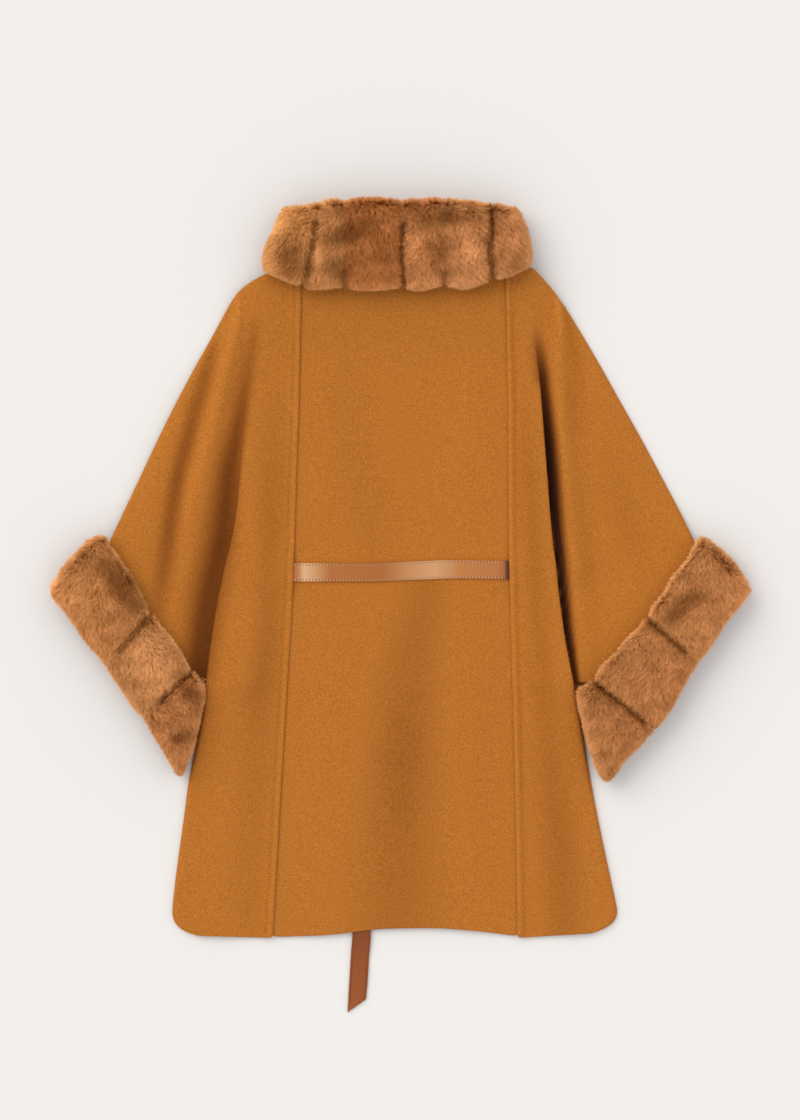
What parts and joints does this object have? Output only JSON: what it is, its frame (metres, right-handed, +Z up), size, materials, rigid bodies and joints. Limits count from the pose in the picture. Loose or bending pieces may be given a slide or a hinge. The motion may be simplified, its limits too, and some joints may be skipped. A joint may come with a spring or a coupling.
{
  "type": "wool cape",
  "caption": "Short camel wool cape with batwing sleeves, fur collar and cuffs and a narrow leather belt, laid flat with its back up.",
  "frame": {"origin": "on the floor under the middle of the laid garment", "axes": "+X to the right side of the garment's back, +Y from hem to collar, +Z up from the floor through the layers"},
  "size_m": [0.9052, 1.0522, 0.0579],
  "materials": {
    "wool": "brushed double-faced wool",
    "fur": "short dense fur",
    "leather": "smooth semi-gloss"
  },
  "bodies": {
    "root": {"back_centre": "wool", "back_neck": "wool", "back_side_left": "wool", "back_side_right": "wool", "front_left": "wool", "front_right": "wool", "belt_back": "leather", "belt_front": "leather", "belt_tail": "leather", "collar_pelt_1": "fur", "collar_pelt_2": "fur", "collar_pelt_3": "fur", "collar_pelt_4": "fur", "collar_pelt_5": "fur", "collar_pelt_6": "fur", "collar_front_left": "fur", "collar_front_right": "fur", "cuff_left_upper": "fur", "cuff_left_middle": "fur", "cuff_left_lower": "fur", "cuff_left_under": "fur", "cuff_right_upper": "fur", "cuff_right_middle": "fur", "cuff_right_lower": "fur", "cuff_right_under": "fur"}
  },
  "joints": []
}
